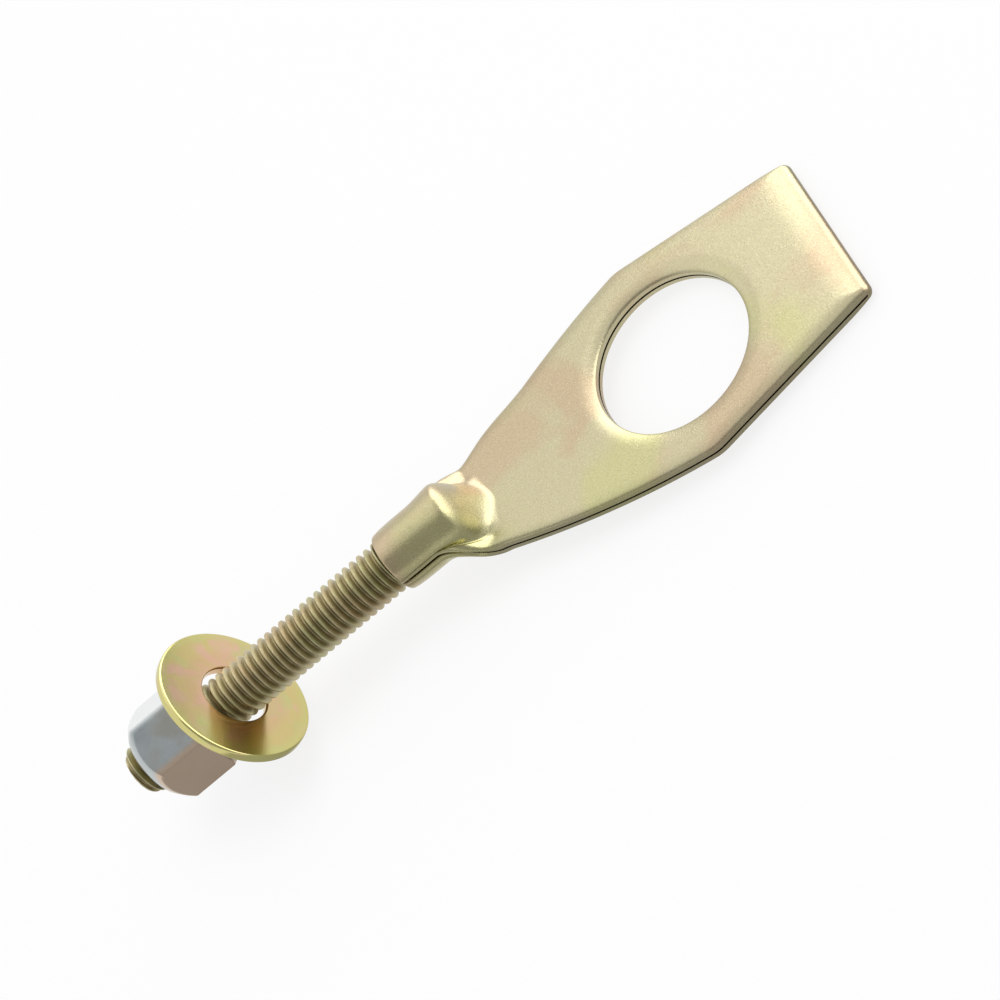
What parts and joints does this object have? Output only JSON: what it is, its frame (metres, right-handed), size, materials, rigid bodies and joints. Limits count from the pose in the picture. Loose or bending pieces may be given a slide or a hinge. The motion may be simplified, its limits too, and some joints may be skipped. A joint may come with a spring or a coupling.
{
  "type": "motorcycle chain adjuster",
  "caption": "Folded sheet steel plate with an axle hole, holding a threaded stud with a loose washer and a nut that pulls the axle back.",
  "frame": {"origin": "centre of the axle hole, midway between the two leaves of the folded plate", "axes": "+X runs along the stud's axis from its tip towards the fold, +Z is square to the plate on the side of the stud"},
  "size_m": [0.0926, 0.0274, 0.0157],
  "materials": {
    "plate_zinc": "yellow zinc plating, satin, faintly iridescent",
    "stud_zinc": "dark olive zinc plating on a rolled thread",
    "washer_zinc": "yellow zinc plating, bright, faintly iridescent",
    "nut_zinc": "clear zinc plating, bright"
  },
  "bodies": {
    "adjuster": {"plate": "plate_zinc", "stud": "stud_zinc"},
    "washer": {"washer": "washer_zinc"},
    "nut": {"nut": "nut_zinc"}
  },
  "joints": [
    {"name": "washer_slide", "type": "slide", "parent": "adjuster", "child": "washer", "axis": [1, 0, 0], "range_m": [-0.0015, 0.0195]},
    {"name": "nut_turn", "type": "hinge", "parent": "washer", "child": "nut", "pos_m": [-0.0664, 0, 0.00313], "axis": [1, 0, 0], "range_deg": [-540, 7200]}
  ],
  "couplings": [
    {"joint": "nut_turn", "follows": "washer_slide", "rad_per_m": 6283.2}
  ]
}
